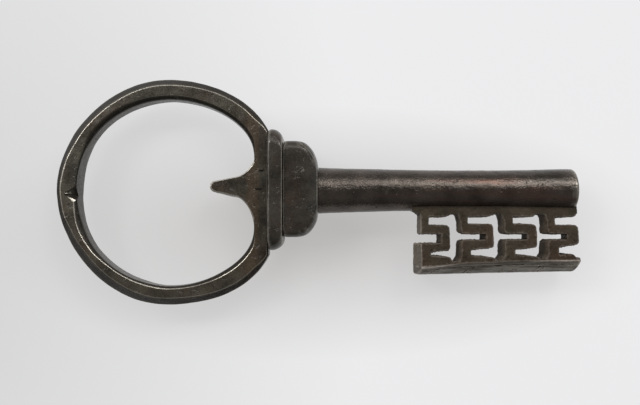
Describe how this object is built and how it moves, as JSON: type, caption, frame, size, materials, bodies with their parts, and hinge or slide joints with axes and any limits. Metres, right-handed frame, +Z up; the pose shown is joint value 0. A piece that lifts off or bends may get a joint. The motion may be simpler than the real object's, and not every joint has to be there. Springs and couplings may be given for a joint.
{
  "type": "key",
  "caption": "Large forged iron key with a wide ring bow and spur, a flattened collar, a hollow shank and a bit of meander wards closed by a convex foot.",
  "frame": {"origin": "under the middle of the key, on the surface that it lies on", "axes": "+X along the shank from the bow to the open end of the pipe, +Y away from the bit across the flat of the key, +Z up through its thickness"},
  "size_m": [0.1285, 0.0558, 0.016],
  "materials": {
    "bow_iron": "dark worn forged iron, half gloss with bright edges",
    "collar_iron": "dark smooth filed iron",
    "shank_iron": "dark iron with brown lengthwise streaks",
    "bit_iron": "dark pitted iron with filed edges"
  },
  "bodies": {
    "root": {"bow_ring": "bow_iron", "bow_spur": "bow_iron", "collar_plate": "collar_iron", "collar_knop": "collar_iron", "shank_pipe": "shank_iron", "bit_ward_1": "bit_iron", "bit_ward_2": "bit_iron", "bit_ward_3": "bit_iron", "bit_ward_4": "bit_iron", "bit_foot": "bit_iron"}
  },
  "joints": []
}
